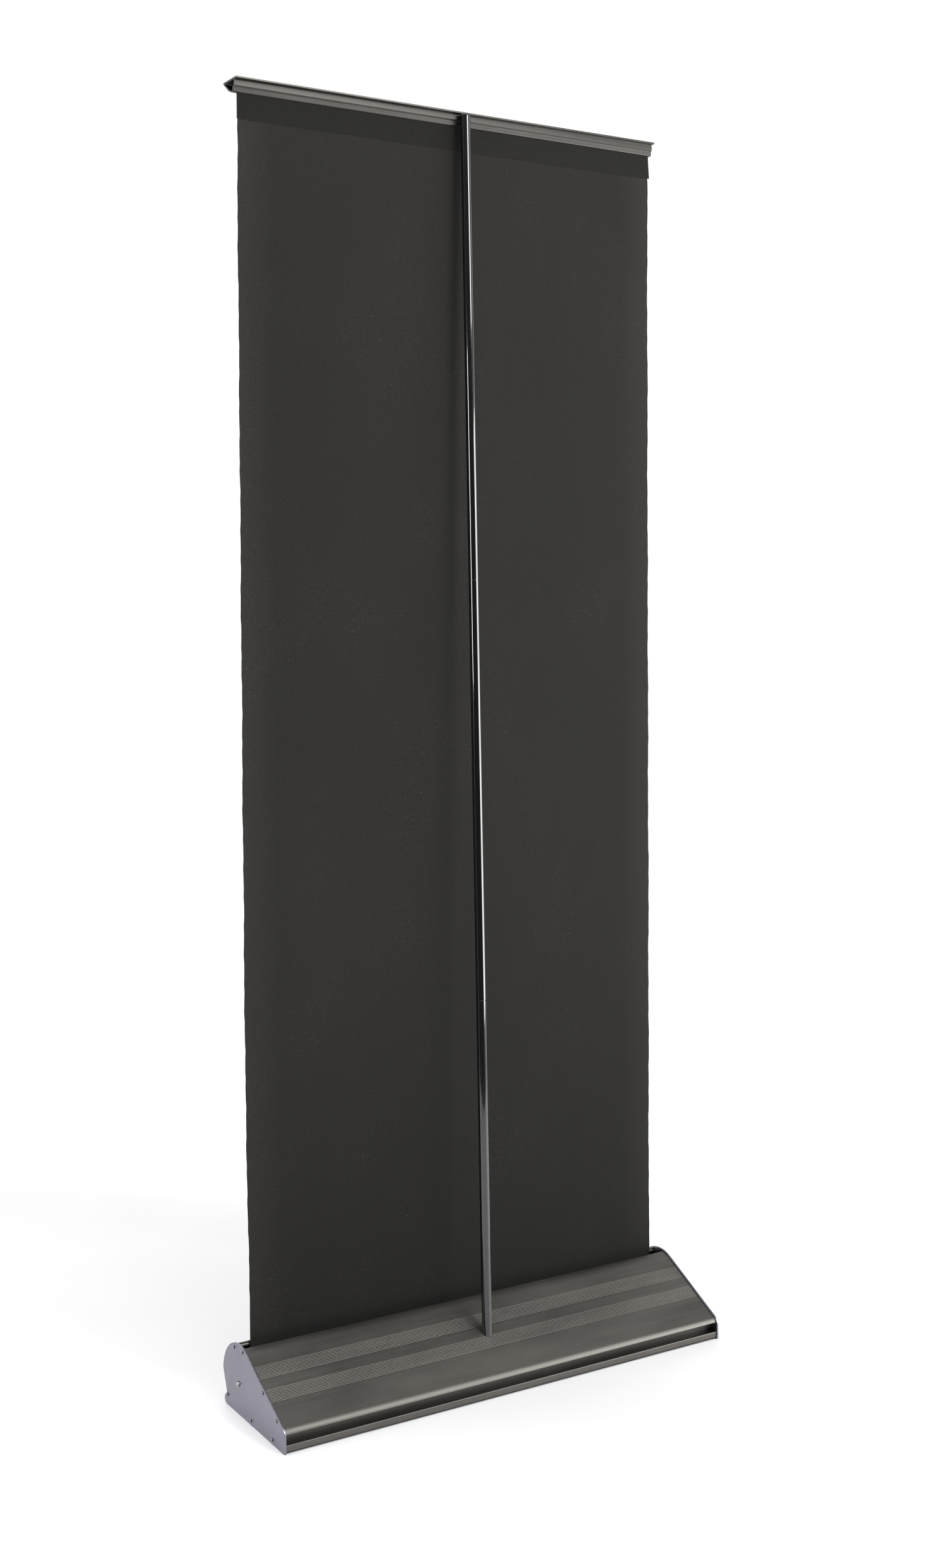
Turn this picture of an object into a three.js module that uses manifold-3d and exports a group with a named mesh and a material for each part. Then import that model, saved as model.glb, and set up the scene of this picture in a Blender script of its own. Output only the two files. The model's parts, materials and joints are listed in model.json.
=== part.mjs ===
// A free-standing roll-up banner stand, ready for use: a weighted base with a sprung roller,
// a banner drawn up out of it, and a three-section pole that holds the top rail.
// Millimetres. X runs along the base, +Y to the rear (the pole's side), +Z up from the floor.
// The origin is the middle of the base, on the floor.
import * as THREE from "three";
import { mergeVertices } from "three/addons/utils/BufferGeometryUtils.js";
import Module from "manifold-3d";

const wasm = await Module();
wasm.setup();

const radians = THREE.MathUtils.degToRad;

// Driving dimensions: the whole stand
const standHeight = 2106;
const bannerWidth = 800;
const baseDepth = 228;

// Clearances
const seatGap = 0.3; // between faces that touch
const runningGap = 0.3; // round a shaft that turns or slides

// Base section, an outline in Y and Z that both end plates show
const drumRadius = 62.5;
const drumAxisHeight = 50;
const slopeAngle = radians(27.6);
const rearRadius = 16;
const rearCornerRadius = 3;
const knuckleAngle = radians(172.6); // where the drum turns in to the chin
const knuckleRadius = 10;
const chinAngle = radians(21.5);
const neckRadius = 4;
const toeRadius = 8;
const toeSetback = 13.3; // the toe's centre behind the drum's front

// End plates and the base's length
const endMargin = 17.5; // from the banner's edge to a plate's outer face
const plateThickness = 3;
const plateProud = 2; // how far a plate's edge stands out from the extrusions

// Extrusions
const wall = 1.8;
const slotFrontAngle = radians(107);
const slotRearAngle = radians(78);
const lipHeight = 13;
const lipThickness = 2.4;

// Rear recess, under the cover's nose
const recessDepth = 15;
const recessRoof = 27.4;
const recessRadius = 5;
const noseEndAngle = radians(20);

// Ribbed bands, measured down the slope from where it leaves the drum
const bandStarts = [24, 70];
const ribCount = 10;
const ribPitch = 2.6;
const ribGroove = 1.1;
const ribDepth = 0.7;
const ribFlank = 0.28; // the sloping side of a groove, along the slope

// Screws and the ports they run in
const portRadius = 3.6;
const portOverlap = 0.5;
const screwRadius = 1.45;
const screwLength = 13;
const screwHeadRadius = 2.9;
const screwHeadHeight = 1.7;
const screwHeadSide = 0.9; // the upright part of the head's edge
const screwHeadFlat = 1.7; // radius of the flat on top
const screwClearance = 0.3;
const slotFrontScrewAngle = radians(110.5);
const slotRearScrewAngle = radians(77);
const slopeScrewPlaces = [70, 125]; // down the slope
const toeScrew = [3.2, 8.2]; // from the toe's centre
const floorScrewPlaces = [-8, 70];

// Roller
const tubeRadius = 13;
const tubeWall = 1.2;
const tubeMargin = 12; // from a tube end to the plate's outer face
const plugLength = 16;
const plugFlange = 2;
const leaderThickness = 0.7;
const axleRadius = 2.5;
const axleReach = 4; // past the plate's outer face
const idleAxleLength = 36;
const springAxleLength = 172;

// Return spring
const springRadius = 8.2;
const springWire = 0.8;
const springTurns = 22;
const springLength = 122;
const collarRadius = 10;
const collarLength = 8;

// Banner
const bannerThickness = 0.5;
const bannerOffset = -3; // the banner's middle along the base
const tailHeight = 8; // the hidden end, above the floor
const hemDepth = 40;
const hemThickness = 0.4;
const hemGap = 0.1; // between the hem and the banner

// Pole
const poleRadius = 8.5;
const poleWall = 1;
const poleFootPlace = [6.9, 32.1, 87]; // a point of the pole's axis, just above the cover
const poleTipShift = -12.9; // the tip's place along the base
const lowerJointHeight = 625;
const upperJointHeight = 1323;
const ferruleWall = 1.6;
const ferruleLength = 76;
const plugDepth = 18;
const plugCap = 3; // the part of a plug that covers a tube's end
const tipChamfer = 1;
const poleEndGap = 1; // under the foot, and over the tip
const cordRadius = 1.6;

// Pole socket
const socketWidth = 30;
const socketHeight = 27;
const socketFloor = 6;
const socketCorner = 5;

// Top rail
const railOverhang = 5.5; // a rail end past the banner's edge
const railDepth = 51;
const railHeight = 22.5;
const railFlange = 3;
const railWall = 1.8;
const flangeOverhang = 7.5; // the flange's rear edge past the rear wall
const rearWallHeight = 9.5;
const stepDepth = 2.1;
const lipClearance = 0.7; // on each side of the banner
const clampJaw = 8.5;
const railNose = 2.5;
const lipChamfer = 1;
const clampKneeSetback = 12; // the clamp's outer bend, in front of its toe
const clampKneeRise = 4.5;
const clampInnerSetback = 10;
const gripMargin = 2; // the banner's edge past the clamp's jaw

// ---- Shared measures ----

const baseLength = bannerWidth + 2 * endMargin;
const rearFace = baseDepth / 2;
const drumAxis = new THREE.Vector2(drumRadius - baseDepth / 2, drumAxisHeight);
const toeCentre = new THREE.Vector2(toeSetback - baseDepth / 2, toeRadius);
const slopeNormal = Math.PI / 2 - slopeAngle;
const extrusionLength = baseLength - 2 * plateThickness - 2 * seatGap;
const portInset = plateProud + wall + portRadius - portOverlap;
const bannerRear = drumAxis.x - tubeRadius - leaderThickness - runningGap;
const bannerFront = bannerRear - bannerThickness;
const railBottom = standHeight - railHeight;
const floorTop = plateProud + wall;
const springStart = baseLength / 2 - tubeMargin - plugLength - 2 * springWire - seatGap;

// A point at a distance and an angle from a centre, in the Y-Z plane.
function polar(centre, radius, angle) {
  return new THREE.Vector2(
    centre.x + radius * Math.cos(angle),
    centre.y + radius * Math.sin(angle),
  );
}

// The centre of the rounding between the slope and the upright rear face.
function rearCentre() {
  const y = rearFace - rearRadius;
  const reach = drumRadius - rearRadius - (y - drumAxis.x) * Math.cos(slopeNormal);
  return new THREE.Vector2(y, drumAxis.y + reach / Math.sin(slopeNormal));
}

// A point on the slope, a distance down from where it leaves the drum and a depth under the outline.
function onSlope(distance, depth) {
  const start = polar(drumAxis, drumRadius - depth, slopeNormal);
  return new THREE.Vector2(
    start.x + distance * Math.cos(slopeAngle),
    start.y - distance * Math.sin(slopeAngle),
  );
}

// The drum's front, chin, neck and toe, set in from the plate's outline by a distance.
function frontRun(path, inset, startAngle) {
  const knuckle = polar(drumAxis, drumRadius - knuckleRadius, knuckleAngle);
  const chinNormal = Math.PI + chinAngle;
  const chinTop = polar(knuckle, knuckleRadius, chinNormal);
  const out = new THREE.Vector2(Math.cos(chinNormal), Math.sin(chinNormal));
  const down = new THREE.Vector2(-out.y, out.x);
  const toe = toeCentre.clone().sub(chinTop);
  const reach = Math.sqrt((neckRadius + toeRadius) ** 2 - (neckRadius - toe.dot(out)) ** 2);
  const neck = chinTop
    .clone()
    .addScaledVector(down, toe.dot(down) - reach)
    .addScaledVector(out, neckRadius);
  const toToe = Math.atan2(toeCentre.y - neck.y, toeCentre.x - neck.x);
  path.absarc(drumAxis.x, drumAxis.y, drumRadius - inset, startAngle, knuckleAngle, false);
  path.absarc(knuckle.x, knuckle.y, knuckleRadius - inset, knuckleAngle, chinNormal, false);
  path.absarc(neck.x, neck.y, neckRadius + inset, chinAngle, toToe, true);
  path.absarc(toeCentre.x, toeCentre.y, toeRadius - inset, toToe + Math.PI, 1.5 * Math.PI, false);
}

// ---- Solids ----

// A geometry as a manifold-3d solid, for a cut or a join.
function solidOf(geometry) {
  const bare = geometry.index ? geometry.toNonIndexed() : geometry.clone();
  bare.deleteAttribute("normal");
  bare.deleteAttribute("uv");
  const merged = mergeVertices(bare, 1e-4);
  return new wasm.Manifold(
    new wasm.Mesh({
      numProp: 3,
      vertProperties: merged.attributes.position.array,
      triVerts: new Uint32Array(merged.index.array),
    }),
  );
}

function geometryOf(solid) {
  const mesh = solid.getMesh();
  const geometry = new THREE.BufferGeometry();
  geometry.setAttribute("position", new THREE.BufferAttribute(mesh.vertProperties, mesh.numProp));
  geometry.setIndex(new THREE.BufferAttribute(mesh.triVerts, 1));
  geometry.computeVertexNormals();
  return geometry;
}

function joined(geometries) {
  return geometries.map(solidOf).reduce((whole, piece) => whole.add(piece));
}

function cut(solid, tools) {
  return geometryOf(tools.map(solidOf).reduce((rest, tool) => rest.subtract(tool), solid));
}

// A section drawn in Y and Z, run along X about a middle place.
function alongX(section, length, middle = 0, curveSegments = 5) {
  const geometry = new THREE.ExtrudeGeometry(section, {
    depth: length,
    bevelEnabled: false,
    curveSegments,
  });
  const turn = new THREE.Matrix4().makeBasis(
    new THREE.Vector3(0, 1, 0),
    new THREE.Vector3(0, 0, 1),
    new THREE.Vector3(1, 0, 0),
  );
  return geometry.applyMatrix4(turn).translate(middle - length / 2, 0, 0);
}

// A round rod along X at a place in the Y-Z plane.
function rodAlongX(radius, length, middle, place, sides = 10) {
  return new THREE.CylinderGeometry(radius, radius, length, sides)
    .rotateZ(Math.PI / 2)
    .translate(middle, place.x, place.y);
}

function disc(radius, bore = 0) {
  const shape = new THREE.Shape().absarc(0, 0, radius, 0, 2 * Math.PI, false);
  if (bore > 0) shape.holes.push(new THREE.Path().absarc(0, 0, bore, 0, 2 * Math.PI, true));
  return shape;
}

// A tube or a rod along +Z from a start to an end.
function tubeAlongZ(radius, bore, start, end, curveSegments = 10) {
  return new THREE.ExtrudeGeometry(disc(radius, bore), {
    depth: end - start,
    bevelEnabled: false,
    curveSegments,
  }).translate(0, 0, start);
}

// A profile of [radius, place] points turned about Z.
function turned(points, sides = 20) {
  const profile = points.map(([radius, place]) => new THREE.Vector2(radius, place));
  return new THREE.LatheGeometry(profile, sides).rotateX(Math.PI / 2);
}

// ---- Materials ----

function finish(colour, roughness, metalness) {
  return new THREE.MeshStandardMaterial({ color: colour, roughness, metalness });
}

const anodised = finish("#2b2b2d", 0.42, 0.85);
const plateFinish = finish("#56555b", 0.5, 0.7);
const steel = finish("#b9b9bb", 0.28, 1);
const zincSteel = finish("#77767d", 0.4, 0.9);
const polePaint = finish("#1e1c1f", 0.22, 0.6);
const plastic = finish("#17171a", 0.5, 0);
const cloth = finish("#35342f", 0.9, 0);
const hemCloth = finish("#2c2b28", 0.92, 0);
const leaderFilm = finish("#3d3d3f", 0.6, 0);
const elastic = finish("#1a1a1a", 0.85, 0);

const stand = new THREE.Group();

function add(name, geometry, material, parent = stand) {
  const mesh = new THREE.Mesh(geometry, material);
  mesh.name = name;
  parent.add(mesh);
  return mesh;
}

// ---- The pole's line ----

const poleFoot = new THREE.Vector3(...poleFootPlace);
const railRearWall = bannerRear + lipClearance + railWall + stepDepth;
const flangeUnder = standHeight - railFlange;
const tipRise = flangeUnder - poleEndGap - poleFoot.z;
const poleTip = new THREE.Vector3(
  poleTipShift,
  railRearWall + runningGap + poleRadius,
  poleFoot.z + tipRise,
);
const poleDirection = poleTip.clone().sub(poleFoot).normalize();

// The pole's own frame: +Z up the pole, with its zero on the floor.
const poleGroup = new THREE.Group();
poleGroup.position.copy(poleFoot).addScaledVector(poleDirection, -poleFoot.z / poleDirection.z);
poleGroup.quaternion.setFromUnitVectors(new THREE.Vector3(0, 0, 1), poleDirection);
stand.add(poleGroup);

// The distance up the pole at which its axis reaches a height.
function upPole(height) {
  return height / poleDirection.z;
}

// A rod along the pole, in the stand's frame, for cutting the holes it stands in.
function poleCutter(radius, fromHeight, toHeight) {
  poleGroup.updateMatrix();
  return tubeAlongZ(radius, 0, upPole(fromHeight), upPole(toHeight)).applyMatrix4(poleGroup.matrix);
}

// ---- Screws: their places in the Y-Z plane ----

const drumPortRadius = drumRadius - portInset;
const bodyScrews = {
  slot_front: polar(drumAxis, drumPortRadius, slotFrontScrewAngle),
  toe: toeCentre.clone().add(new THREE.Vector2(...toeScrew)),
  floor_front: new THREE.Vector2(floorScrewPlaces[0], portInset),
  floor_rear: new THREE.Vector2(floorScrewPlaces[1], portInset),
};
const coverScrews = {
  slot_rear: polar(drumAxis, drumPortRadius, slotRearScrewAngle),
  slope_upper: onSlope(slopeScrewPlaces[0], portInset),
  slope_lower: onSlope(slopeScrewPlaces[1], portInset),
};

function ports(places) {
  return places.map((place) => rodAlongX(portRadius, extrusionLength, 0, place, 12));
}

function portBores(places) {
  const bore = screwRadius + screwClearance;
  const length = extrusionLength + 2 * plateThickness;
  return places.map((place) => rodAlongX(bore, length, 0, place, 8));
}

// ---- Base: front and floor extrusion ----

function bodyExtrusion() {
  const outer = new THREE.Path();
  frontRun(outer, plateProud, slotFrontAngle);
  const lipBack = rearFace - plateProud;
  const corner = rearCornerRadius;
  outer.absarc(lipBack - corner, plateProud + corner, corner, 1.5 * Math.PI, 2 * Math.PI, false);
  outer.lineTo(lipBack, lipHeight - lipThickness / 2);
  const lipMiddle = lipBack - lipThickness / 2;
  const lipTop = lipHeight - lipThickness / 2;
  outer.absarc(lipMiddle, lipTop, lipThickness / 2, 0, Math.PI, false);
  const inner = new THREE.Path();
  frontRun(inner, plateProud + wall, slotFrontAngle);
  inner.lineTo(lipBack - lipThickness, floorTop);
  const segments = 5;
  const run = outer.getPoints(segments).concat(inner.getPoints(segments).reverse());
  const places = Object.values(bodyScrews);
  const shell = joined([alongX(new THREE.Shape(run), extrusionLength), ...ports(places)]);
  return cut(shell, portBores(places));
}

// ---- Base: ribbed rear cover, with its nose and the recess's roof and back ----

function ribbedSlope(shape) {
  for (const start of bandStarts) {
    for (let rib = 0; rib < ribCount; rib++) {
      const from = start + rib * ribPitch;
      const top = onSlope(from, plateProud);
      const inTop = onSlope(from + ribFlank, plateProud + ribDepth);
      const inEnd = onSlope(from + ribGroove - ribFlank, plateProud + ribDepth);
      const end = onSlope(from + ribGroove, plateProud);
      for (const point of [top, inTop, inEnd, end]) shape.lineTo(point.x, point.y);
    }
  }
}

function rearCover() {
  const rear = rearCentre();
  const recessBack = rearFace - plateProud - recessDepth;
  const under = plateProud + wall;
  const bend = new THREE.Vector2(recessBack + recessRadius, recessRoof - recessRadius);
  const noseStart = polar(rear, rearRadius - under, slopeNormal);
  const shape = new THREE.Shape();
  const topRadius = drumRadius - plateProud;
  shape.absarc(drumAxis.x, drumAxis.y, topRadius, slotRearAngle, slopeNormal, true);
  ribbedSlope(shape);
  shape.absarc(rear.x, rear.y, rearRadius - plateProud, slopeNormal, noseEndAngle, true);
  shape.lineTo(noseStart.x, recessRoof);
  shape.absarc(bend.x, bend.y, recessRadius, Math.PI / 2, Math.PI, false);
  shape.lineTo(recessBack, floorTop + seatGap);
  shape.lineTo(recessBack - wall, floorTop + seatGap);
  shape.absarc(bend.x, bend.y, recessRadius + wall, Math.PI, Math.PI / 2, true);
  shape.lineTo(noseStart.x, recessRoof + wall);
  shape.lineTo(noseStart.x, noseStart.y);
  shape.absarc(drumAxis.x, drumAxis.y, drumRadius - under, slopeNormal, slotRearAngle, false);
  const places = Object.values(coverScrews);
  const cover = joined([alongX(shape, extrusionLength), ...ports(places)]);
  const hole = poleCutter(poleRadius + runningGap, socketHeight, drumAxis.y + 2 * drumRadius);
  return cut(cover, [...portBores(places), hole]);
}

// ---- Base: end plates ----

function plateSection() {
  const rear = rearCentre();
  const corner = rearCornerRadius;
  const shape = new THREE.Shape();
  frontRun(shape, 0, slopeNormal);
  shape.absarc(rearFace - corner, corner, corner, 1.5 * Math.PI, 2 * Math.PI, false);
  shape.absarc(rear.x, rear.y, rearRadius, 0, slopeNormal, false);
  const screws = [...Object.values(bodyScrews), ...Object.values(coverScrews)];
  for (const place of screws) {
    const bore = screwRadius + screwClearance;
    shape.holes.push(new THREE.Path().absarc(place.x, place.y, bore, 0, 2 * Math.PI, true));
  }
  const axleBore = axleRadius + seatGap;
  shape.holes.push(new THREE.Path().absarc(drumAxis.x, drumAxis.y, axleBore, 0, 2 * Math.PI, true));
  return shape;
}

function screwGeometry() {
  return turned(
    [
      [0, -screwLength],
      [screwRadius, -screwLength],
      [screwRadius, 0],
      [screwHeadRadius, 0],
      [screwHeadRadius, screwHeadSide],
      [screwHeadFlat, screwHeadHeight],
      [0, screwHeadHeight],
    ],
    10,
  );
}

function endPlates() {
  const outerFace = baseLength / 2;
  for (const [side, sign] of [["left", 1], ["right", -1]]) {
    const middle = sign * (outerFace - plateThickness / 2);
    add(`end_plate_${side}`, alongX(plateSection(), plateThickness, middle), plateFinish);
    for (const [place, at] of Object.entries({ ...bodyScrews, ...coverScrews })) {
      const screw = add(`screw_${side}_${place}`, screwGeometry(), zincSteel);
      screw.rotation.y = (sign * Math.PI) / 2;
      screw.position.set(sign * (outerFace + seatGap), at.x, at.y);
    }
  }
}

// ---- Roller, its axles and its spring ----

function rollerPlug(sign) {
  const start = baseLength / 2 - tubeMargin;
  const fit = tubeRadius - tubeWall - seatGap;
  const bore = axleRadius + runningGap;
  const geometry = turned([
    [bore, start - plugLength],
    [fit, start - plugLength],
    [fit, start + seatGap],
    [tubeRadius, start + seatGap],
    [tubeRadius, start + seatGap + plugFlange],
    [bore, start + seatGap + plugFlange],
    [bore, start - plugLength],
  ]);
  return geometry.rotateY((sign * Math.PI) / 2);
}

function axle(sign, length) {
  const end = baseLength / 2 + axleReach;
  return rodAlongX(axleRadius, length, sign * (end - length / 2), drumAxis, 16);
}

class SpringCurve extends THREE.Curve {
  getPoint(t, target = new THREE.Vector3()) {
    const angle = 2 * Math.PI * springTurns * t;
    const along = springStart - springLength * t;
    return target.set(along, springRadius * Math.cos(angle), springRadius * Math.sin(angle));
  }
}

function returnSpring() {
  const wire = new THREE.Shape().absarc(0, 0, springWire, 0, 2 * Math.PI, false);
  return new THREE.ExtrudeGeometry(wire, {
    steps: springTurns * 10,
    bevelEnabled: false,
    curveSegments: 3,
    extrudePath: new SpringCurve(),
  });
}

function roller() {
  const group = new THREE.Group();
  group.position.set(0, drumAxis.x, drumAxis.y);
  stand.add(group);
  const tubeLength = baseLength - 2 * tubeMargin;
  add("roller_tube", alongX(disc(tubeRadius, tubeRadius - tubeWall), tubeLength, 0, 12), anodised, group);
  const leader = disc(tubeRadius + leaderThickness, tubeRadius + seatGap / 2);
  add("leader_wrap", alongX(leader, bannerWidth, bannerOffset, 12), leaderFilm, group);
  add("roller_plug_left", rollerPlug(1), plastic, group);
  add("roller_plug_right", rollerPlug(-1), plastic, group);
  add("return_spring", returnSpring(), steel, group);
  const collarStart = springStart - springLength - 2 * springWire - seatGap;
  const collar = disc(collarRadius, axleRadius + seatGap);
  const collarMiddle = collarStart - collarLength / 2;
  add("spring_collar", alongX(collar, collarLength, collarMiddle), plastic, group);
  add("spring_axle", axle(1, springAxleLength), steel);
  add("idle_axle", axle(-1, idleAxleLength), steel);
}

// ---- Pole socket ----

function poleSocket() {
  const half = socketWidth / 2;
  const corner = socketCorner;
  const block = new THREE.Shape();
  block.absarc(half - corner, half - corner, corner, 0, Math.PI / 2, false);
  block.absarc(corner - half, half - corner, corner, Math.PI / 2, Math.PI, false);
  block.absarc(corner - half, corner - half, corner, Math.PI, 1.5 * Math.PI, false);
  block.absarc(half - corner, corner - half, corner, 1.5 * Math.PI, 2 * Math.PI, false);
  const bottom = floorTop + seatGap;
  const depth = socketHeight - bottom;
  const middle = poleGroup.position
    .clone()
    .addScaledVector(poleDirection, upPole((bottom + socketHeight) / 2));
  const geometry = new THREE.ExtrudeGeometry(block, {
    depth,
    bevelEnabled: false,
    curveSegments: 3,
  }).translate(middle.x, middle.y, bottom);
  const bore = poleCutter(poleRadius + runningGap, bottom + socketFloor, 2 * socketHeight);
  return cut(solidOf(geometry), [bore]);
}

// ---- Pole ----

function pole() {
  const start = upPole(floorTop + seatGap + socketFloor + poleEndGap);
  const end = upPole(poleTip.z) - poleRadius * Math.tan(Math.acos(poleDirection.z));
  const joints = [upPole(lowerJointHeight), upPole(upperJointHeight)];
  const bore = poleRadius - poleWall;
  const plugFit = bore - seatGap;
  const cap = plugCap;
  const tubes = [
    ["lower", start + cap + seatGap, joints[0] - seatGap / 2],
    ["middle", joints[0] + seatGap / 2, joints[1] - seatGap / 2],
    ["top", joints[1] + seatGap / 2, end - cap - seatGap],
  ];
  for (const [name, from, to] of tubes) {
    add(`pole_${name}`, tubeAlongZ(poleRadius, bore, from, to), polePaint, poleGroup);
  }
  for (const [name, at] of [["lower", joints[0]], ["upper", joints[1]]]) {
    const half = ferruleLength / 2;
    const ferrule = tubeAlongZ(bore - seatGap, bore - seatGap - ferruleWall, at - half, at + half);
    add(`pole_ferrule_${name}`, ferrule, steel, poleGroup);
  }
  const foot = [
    [0, start],
    [poleRadius, start],
    [poleRadius, start + cap],
    [plugFit, start + cap],
    [plugFit, start + cap + plugDepth],
    [0, start + cap + plugDepth],
  ];
  add("pole_foot_plug", turned(foot), plastic, poleGroup);
  const tip = [
    [0, end - cap - plugDepth],
    [plugFit, end - cap - plugDepth],
    [plugFit, end - cap],
    [poleRadius, end - cap],
    [poleRadius, end - tipChamfer],
    [poleRadius - tipChamfer, end],
    [0, end],
  ];
  add("pole_tip_plug", turned(tip), plastic, poleGroup);
  const cordStart = start + cap + plugDepth + seatGap;
  const cordEnd = end - cap - plugDepth - seatGap;
  const stations = [cordStart, ...joints, cordEnd];
  for (const [index, name] of ["lower", "middle", "top"].entries()) {
    const from = stations[index] + seatGap / 2;
    const to = stations[index + 1] - seatGap / 2;
    add(`shock_cord_${name}`, tubeAlongZ(cordRadius, 0, from, to, 4), elastic, poleGroup);
  }
}

// ---- Top rail, the clamp that grips the banner, and the banner ----

function section(points) {
  return new THREE.Shape(points.map(([y, z]) => new THREE.Vector2(y, z)));
}

function railBody() {
  const flangeRear = railRearWall + flangeOverhang;
  const front = flangeRear - railDepth;
  const lip = bannerRear + lipClearance;
  const wallFoot = flangeUnder - rearWallHeight;
  return section([
    [flangeRear, standHeight],
    [front + railNose, standHeight],
    [front, standHeight - railNose / 2],
    [front + railNose, flangeUnder],
    [railRearWall - railWall, flangeUnder],
    [railRearWall - railWall, wallFoot + railWall],
    [lip, wallFoot + railWall - stepDepth],
    [lip, railBottom + lipChamfer],
    [lip + railWall / 2, railBottom],
    [lip + railWall, railBottom + lipChamfer],
    [lip + railWall, wallFoot - stepDepth],
    [railRearWall, wallFoot],
    [railRearWall, flangeUnder],
    [flangeRear, flangeUnder],
  ]);
}

function railClamp() {
  const front = railRearWall + flangeOverhang - railDepth;
  const jaw = bannerFront - lipClearance;
  const top = flangeUnder - seatGap;
  const toe = jaw - 2 * railWall;
  return section([
    [front + railNose, top],
    [toe - clampKneeSetback, railBottom + clampKneeRise],
    [toe, railBottom],
    [jaw, railBottom],
    [jaw, railBottom + clampJaw],
    [jaw - railWall, railBottom + clampJaw],
    [jaw - railWall, railBottom + railWall],
    [toe - clampInnerSetback, railBottom + clampKneeRise + railWall],
    [front + railNose + 2 * railWall, top],
  ]);
}

function rail() {
  const length = bannerWidth + 2 * railOverhang;
  const bannerTop = railBottom + clampJaw + gripMargin;
  add("rail_body", alongX(railBody(), length, bannerOffset), anodised);
  add("rail_clamp", alongX(railClamp(), length, bannerOffset), anodised);
  const sheet = section([
    [bannerFront, tailHeight],
    [bannerRear, tailHeight],
    [bannerRear, bannerTop],
    [bannerFront, bannerTop],
  ]);
  add("banner_fabric", alongX(sheet, bannerWidth, bannerOffset), cloth);
  const hemRear = bannerRear + hemGap;
  const hem = section([
    [hemRear, railBottom - hemDepth],
    [hemRear + hemThickness, railBottom - hemDepth],
    [hemRear + hemThickness, bannerTop],
    [hemRear, bannerTop],
  ]);
  add("hem_strip", alongX(hem, bannerWidth, bannerOffset), hemCloth);
}

add("body_extrusion", bodyExtrusion(), anodised);
add("rear_cover", rearCover(), anodised);
endPlates();
add("pole_socket", poleSocket(), plastic);
roller();
pole();
rail();

export default stand;
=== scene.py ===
import json
import math
from functools import partial

import bmesh
import bpy
import numpy as np
from mathutils import Matrix, Vector

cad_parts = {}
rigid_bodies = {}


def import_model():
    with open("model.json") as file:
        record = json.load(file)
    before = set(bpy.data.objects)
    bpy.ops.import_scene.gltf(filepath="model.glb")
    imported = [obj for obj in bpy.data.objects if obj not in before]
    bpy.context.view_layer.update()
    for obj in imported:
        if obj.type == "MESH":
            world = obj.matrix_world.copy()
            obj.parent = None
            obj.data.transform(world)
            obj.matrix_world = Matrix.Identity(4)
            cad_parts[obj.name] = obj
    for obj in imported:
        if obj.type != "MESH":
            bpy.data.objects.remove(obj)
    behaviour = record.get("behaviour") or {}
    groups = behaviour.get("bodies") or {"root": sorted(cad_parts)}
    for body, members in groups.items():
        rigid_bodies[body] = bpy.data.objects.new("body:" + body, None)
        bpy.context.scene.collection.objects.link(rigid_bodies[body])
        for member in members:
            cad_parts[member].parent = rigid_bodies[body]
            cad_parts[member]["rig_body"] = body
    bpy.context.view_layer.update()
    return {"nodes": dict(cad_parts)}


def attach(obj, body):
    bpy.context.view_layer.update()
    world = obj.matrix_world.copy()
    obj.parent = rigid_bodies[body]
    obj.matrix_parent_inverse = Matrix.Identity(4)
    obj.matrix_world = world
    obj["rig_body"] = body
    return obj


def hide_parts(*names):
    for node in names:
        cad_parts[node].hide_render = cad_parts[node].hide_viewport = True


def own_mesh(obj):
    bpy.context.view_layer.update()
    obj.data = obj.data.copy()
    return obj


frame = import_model()
print("frame loaded:", len(frame["nodes"]), "nodes")

mm = 0.001
gap = 0.3  # millimetres that parts keep clear of each other
up = np.array([0.0, 0.0, 1.0])

cameraSet = {
    "place": (1.589014, 2.582895, 1.272824),
    "azimuth": 148.695,
    "elevation": 1.787,
    "roll": -0.266,
    "lens": 41.967,
    "riseShift": -0.0743,  # keeps uprights upright, as a shift lens does
}


def placeCamera(use):
    azimuth, elevation, roll = (math.radians(use[k]) for k in ("azimuth", "elevation", "roll"))
    back = Vector((
        math.sin(azimuth) * math.cos(elevation),
        -math.cos(azimuth) * math.cos(elevation),
        math.sin(elevation),
    ))
    right = (-back).cross(Vector(up)).normalized()
    top = right.cross(-back)
    across = right * math.cos(roll) + top * math.sin(roll)
    rise = top * math.cos(roll) - right * math.sin(roll)
    data = bpy.data.cameras.new("camera")
    data.lens = use["lens"]
    data.sensor_width = 36
    data.shift_y = use["riseShift"]
    data.clip_end = 200
    camera = bpy.data.objects.new("camera", data)
    turn = Matrix((across, rise, back)).transposed().to_4x4()
    camera.matrix_world = Matrix.Translation(Vector(use["place"])) @ turn
    bpy.context.collection.objects.link(camera)
    bpy.context.scene.camera = camera
    return back


cameraBack = placeCamera(cameraSet)


def toLinear(code):
    # each sRGB channel c becomes ((c + 0.055) / 1.055) to the power 2.4, or c / 12.92 near black
    channels = [int(code[i:i + 2], 16) / 255 for i in (1, 3, 5)]
    return [c / 12.92 if c <= 0.04045 else ((c + 0.055) / 1.055) ** 2.4 for c in channels] + [1.0]


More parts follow.
